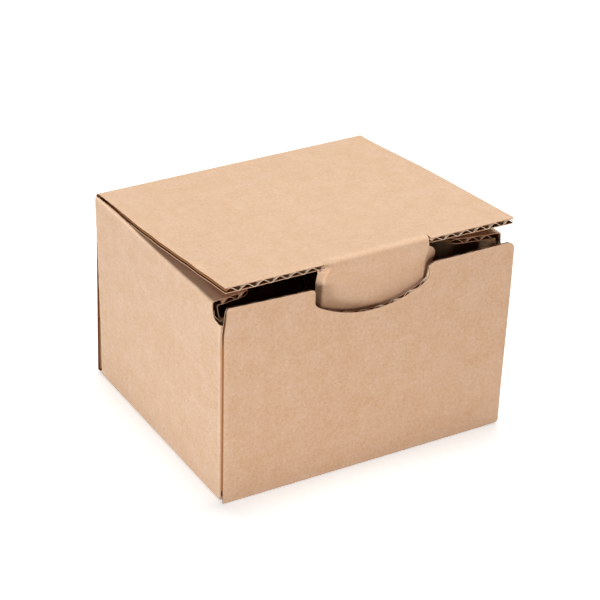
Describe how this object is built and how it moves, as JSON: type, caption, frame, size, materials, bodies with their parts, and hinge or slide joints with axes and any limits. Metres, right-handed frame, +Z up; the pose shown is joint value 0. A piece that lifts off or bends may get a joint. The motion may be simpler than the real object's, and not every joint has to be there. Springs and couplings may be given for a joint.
{
  "type": "corrugated mailer box",
  "caption": "Small rectangular mailer box folded from kraft corrugated board, with a lid hinged on its back wall, a tuck-in tongue and a curved finger recess in the front wall.",
  "frame": {"origin": "middle of the base, on the surface the box stands on", "axes": "+X to the right along the width, -Y towards the front wall with the finger recess, +Z up"},
  "size_m": [0.118, 0.1051, 0.0876],
  "materials": {
    "kraft_body": "matte",
    "kraft_lid": "matte"
  },
  "bodies": {
    "box": {"box_body": "kraft_body"},
    "lid": {"lid": "kraft_lid"}
  },
  "joints": [
    {"name": "lid_hinge", "type": "hinge", "parent": "box", "child": "lid", "pos_m": [0, 0.05121, 0.07771], "axis": [-1, 0, 0], "range_deg": [0, 175]}
  ]
}
